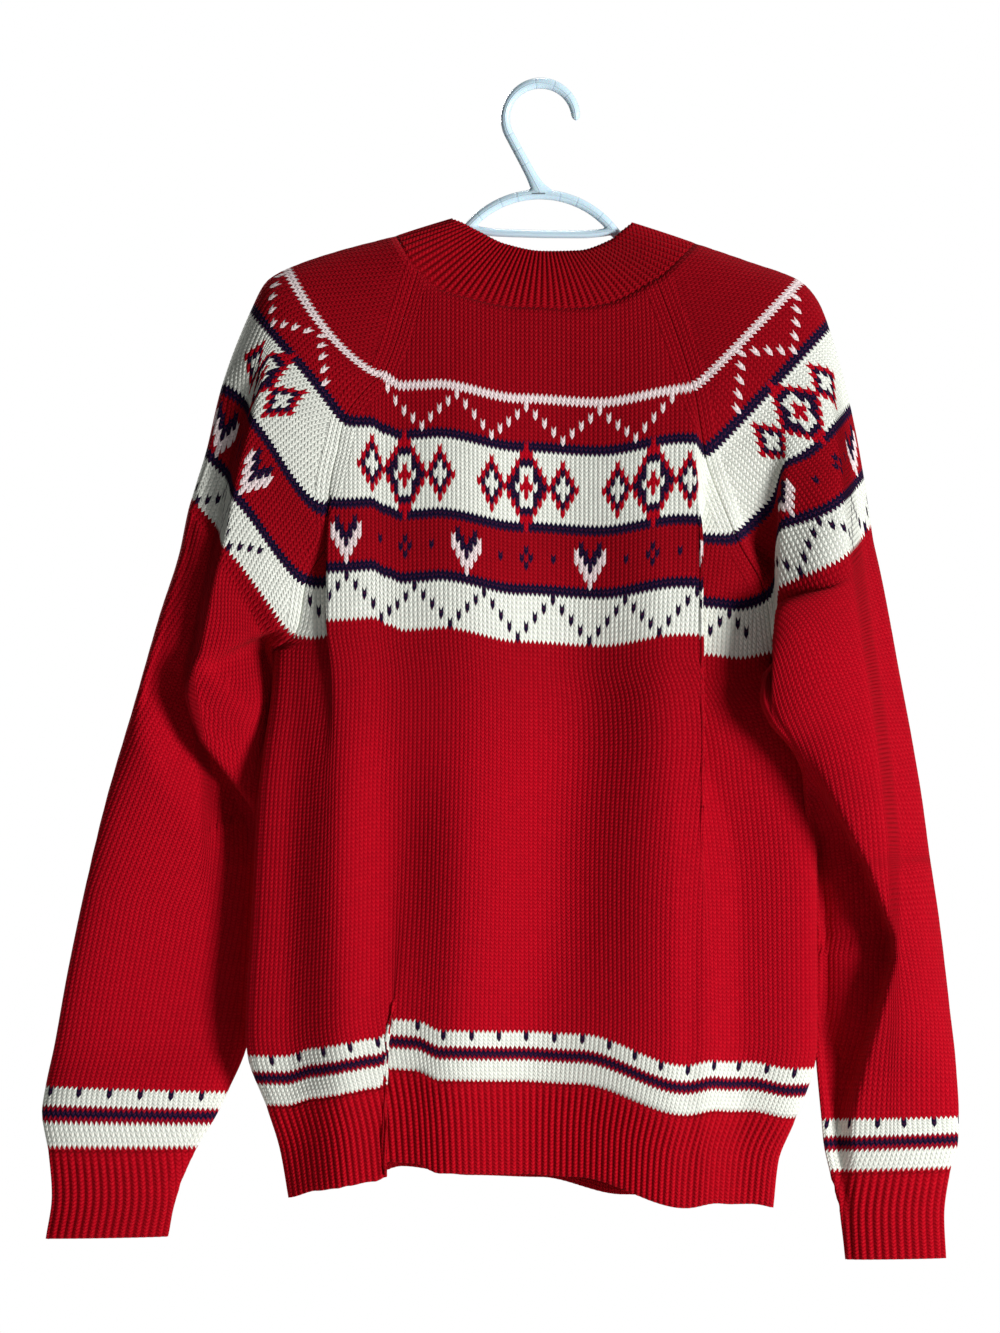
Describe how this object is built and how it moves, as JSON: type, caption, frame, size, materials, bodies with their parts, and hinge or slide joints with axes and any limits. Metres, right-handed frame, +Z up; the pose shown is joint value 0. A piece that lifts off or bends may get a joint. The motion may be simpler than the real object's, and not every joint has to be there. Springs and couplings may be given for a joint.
{
  "type": "fair isle jumper on a hanger",
  "caption": "Raglan-sleeved knitted jumper with patterned bands round yoke, hem and cuffs, hung on a tubular plastic hanger with an open hook.",
  "frame": {"origin": "underside of the crown of the hanger's hook, where a nail or rail carries it", "axes": "+Z up, -Y out of the side that shows (the jumper's back), +X to the right as that side is seen"},
  "size_m": [0.6581, 0.0767, 0.8506],
  "materials": {
    "knit": "heavy wool-blend knit in deep red with bands of navy and off-white in a fair isle pattern, soft and slightly hairy, matt",
    "rib": "the same yarn knitted as a rib in deep red, matt",
    "hanger_plastic": "pale blue moulded plastic, slightly translucent, satin"
  },
  "bodies": {
    "root": {"back_panel": "knit", "front_panel": "knit", "left_sleeve": "knit", "right_sleeve": "knit", "back_hem_rib": "rib", "front_hem_rib": "rib", "left_cuff": "rib", "right_cuff": "rib", "neckband": "rib", "hanger": "hanger_plastic"}
  },
  "joints": []
}
